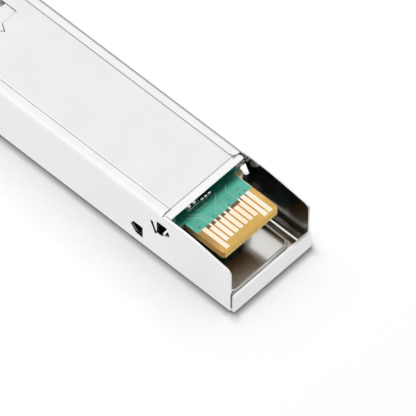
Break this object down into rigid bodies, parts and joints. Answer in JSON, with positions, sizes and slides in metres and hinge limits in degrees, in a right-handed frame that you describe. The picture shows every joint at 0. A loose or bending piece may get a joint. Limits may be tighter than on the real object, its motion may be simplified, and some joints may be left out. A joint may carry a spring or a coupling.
{
  "type": "sfp transceiver",
  "caption": "Pluggable optical transceiver in a folded metal shell, with a card-edge tray, plug ports and a wire bail that withdraws its rocking latch.",
  "frame": {"origin": "middle of the length and width, on the label side that the module lies on", "axes": "+X across the width towards the transmitter, +Y along the length to the card edge, +Z to the latch side"},
  "size_m": [0.0138, 0.0564, 0.0104],
  "materials": {
    "shell_nickel": "bright nickel plate on folded sheet",
    "casting_nickel": "satin nickel plate on a die casting",
    "clamp_plastic": "moulded, matt",
    "board_green": "solder mask over glass laminate",
    "contact_gold": "gold plate",
    "optics_steel": "turned",
    "sleeve_ceramic": "fired ceramic",
    "flex_amber": "polyimide film over copper",
    "latch_steel": "nickel plate",
    "spring_steel": "rolled strip",
    "bail_wire": "drawn wire",
    "chip_black": "moulded package",
    "capacitor_tan": "ceramic with tinned ends",
    "bead_grey": "ferrite with tinned ends",
    "resistor_black": "film on ceramic with tinned ends"
  },
  "bodies": {
    "module": {"outer_shell": "shell_nickel", "base_casting": "casting_nickel", "optics_clamp": "clamp_plastic", "circuit_board": "board_green", "latch_side_contacts": "contact_gold", "label_side_contacts": "contact_gold", "transmitter_barrel": "optics_steel", "receiver_barrel": "optics_steel", "transmitter_sleeve": "sleeve_ceramic", "receiver_sleeve": "sleeve_ceramic", "transmitter_flex": "flex_amber", "receiver_flex": "flex_amber", "rocker_pin": "latch_steel", "latch_spring": "spring_steel", "controller_chip": "chip_black", "laser_driver_chip": "chip_black", "limiting_amplifier_chip": "chip_black", "memory_chip": "chip_black", "supply_diode": "chip_black", "bypass_capacitors": "capacitor_tan", "ferrite_beads": "bead_grey", "pull_up_resistors": "resistor_black"},
    "latch": {"latch_rocker": "latch_steel"},
    "bail": {"bail": "bail_wire", "cam_barrel": "latch_steel"}
  },
  "joints": [
    {"name": "bail_hinge", "type": "hinge", "parent": "module", "child": "bail", "pos_m": [0, -0.0262, 0.0092], "axis": [-1, 0, 0], "range_deg": [0, 90]},
    {"name": "latch_hinge", "type": "hinge", "parent": "module", "child": "latch", "pos_m": [0, -0.0222, 0.0083], "axis": [-1, 0, 0], "range_deg": [0, 5.8], "stiffness_Nm_per_rad": 0.02, "springref_deg": -11.46, "deforming": ["latch_spring"]}
  ],
  "couplings": [
    {"joint": "latch_hinge", "follows": "bail_hinge", "ratio": 0.06444}
  ]
}
